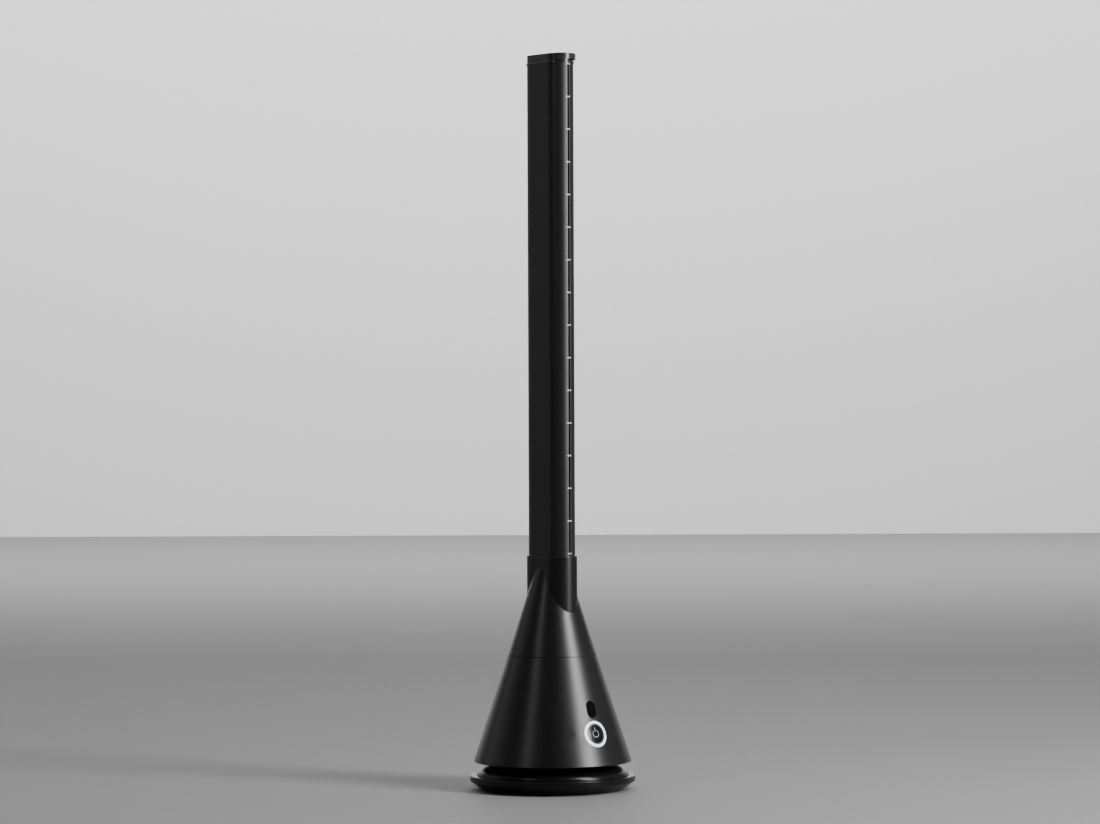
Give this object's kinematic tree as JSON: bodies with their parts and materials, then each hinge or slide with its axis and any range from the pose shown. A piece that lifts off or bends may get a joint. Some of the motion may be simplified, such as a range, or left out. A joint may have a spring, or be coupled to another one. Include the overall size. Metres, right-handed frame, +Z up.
{
  "type": "bladeless tower fan",
  "caption": "Bladeless floor fan: a slim stadium-section column with a long air slot stands on a conical body that swings on a round base, with a lit round button on its front.",
  "frame": {"origin": "on the floor under the centre of the round base", "axes": "+Z up along the swing axis, -Y towards the front with the air slot and the button, +X to the right of someone standing behind it"},
  "size_m": [0.22, 0.22, 0.9765],
  "materials": {
    "satin_black_plastic": "satin black moulding",
    "gloss_black_plastic": "polished black moulding",
    "black_anodised": "satin black anodised extrusion",
    "lip_plastic": "fine matt dark grey",
    "structural_plastic": "dark moulding",
    "soft_black": "soft black elastomer",
    "screw_steel": "zinc plated",
    "ground_steel": "ground bright",
    "ballast_iron": "dark as cast",
    "bearing_nylon": "natural nylon",
    "motor_can": "drawn can",
    "stator_iron": "laminated and wound",
    "magnet": "dark sintered",
    "impeller_plastic": "glass filled moulding",
    "circuit_board": "green laminate",
    "electronic_part": "black component body",
    "light_guide": "milky light guide, lit",
    "mark_guide": "white inlay",
    "dark_lens": "dark infrared lens",
    "plunger_plastic": "white moulding",
    "lead_jacket": "black cable jacket"
  },
  "bodies": {
    "base": {"base_disc": "gloss_black_plastic", "domed_cover": "gloss_black_plastic", "bottom_plate": "structural_plastic", "rubber_feet": "soft_black", "base_screws": "screw_steel", "ballast_plate": "ballast_iron", "spindle": "ground_steel", "retaining_clip": "ground_steel", "lower_race": "ground_steel", "bearing_balls": "ground_steel", "ball_cage": "bearing_nylon", "power_socket": "structural_plastic", "swing_motor": "motor_can", "swing_motor_screws": "screw_steel", "base_lead": "lead_jacket"},
    "pinion": {"swing_pinion": "bearing_nylon"},
    "tower": {"turntable": "structural_plastic", "hub_bushing": "bearing_nylon", "thrust_washer": "bearing_nylon", "swing_gear": "bearing_nylon", "gear_screws": "screw_steel", "upper_race": "ground_steel", "intake_grille": "structural_plastic", "grille_screws": "screw_steel", "foot_screws": "screw_steel", "lower_cone": "satin_black_plastic", "seam_gasket": "soft_black", "upper_cone": "satin_black_plastic", "shell_screws": "screw_steel", "isolator_ring": "soft_black", "fan_bucket": "structural_plastic", "diffuser": "structural_plastic", "motor_stator": "stator_iron", "motor_bearings": "ground_steel", "tail_fairing": "structural_plastic", "driver_board": "circuit_board", "driver_screws": "screw_steel", "control_board": "circuit_board", "board_screws": "screw_steel", "button_housing": "structural_plastic", "light_ring": "light_guide", "sensor_window": "dark_lens", "infrared_receiver": "electronic_part", "button_switch": "electronic_part", "tower_lead": "lead_jacket", "column": "black_anodised", "slot_insert": "lip_plastic", "column_foot": "structural_plastic", "column_gasket": "soft_black", "column_screws": "screw_steel", "lip_ring": "lip_plastic", "top_cap": "gloss_black_plastic"},
    "rotor": {"impeller": "impeller_plastic", "motor_shaft": "ground_steel", "rotor_magnet": "magnet", "shaft_nut": "ground_steel"},
    "button": {"power_button": "gloss_black_plastic", "power_mark": "mark_guide", "switch_plunger": "plunger_plastic"}
  },
  "joints": [
    {"name": "swing", "type": "hinge", "parent": "base", "child": "tower", "pos_m": [0, 0, 0.037], "axis": [0, 0, 1], "range_deg": [-40, 40]},
    {"name": "pinion_spin", "type": "hinge", "parent": "base", "child": "pinion", "pos_m": [-0.036, 0, 0.022], "axis": [0, 0, 1], "range_deg": [-200, 200]},
    {"name": "fan_spin", "type": "hinge", "parent": "tower", "child": "rotor", "pos_m": [0, 0, 0.13], "axis": [0, 0, 1], "continuous": true},
    {"name": "button_press", "type": "slide", "parent": "tower", "child": "button", "axis": [0, 0.9512, -0.3085], "range_m": [0, 0.0008], "stiffness_N_per_m": 1500, "springref_m": -0.0006}
  ],
  "couplings": [
    {"joint": "pinion_spin", "follows": "swing", "ratio": -5}
  ]
}
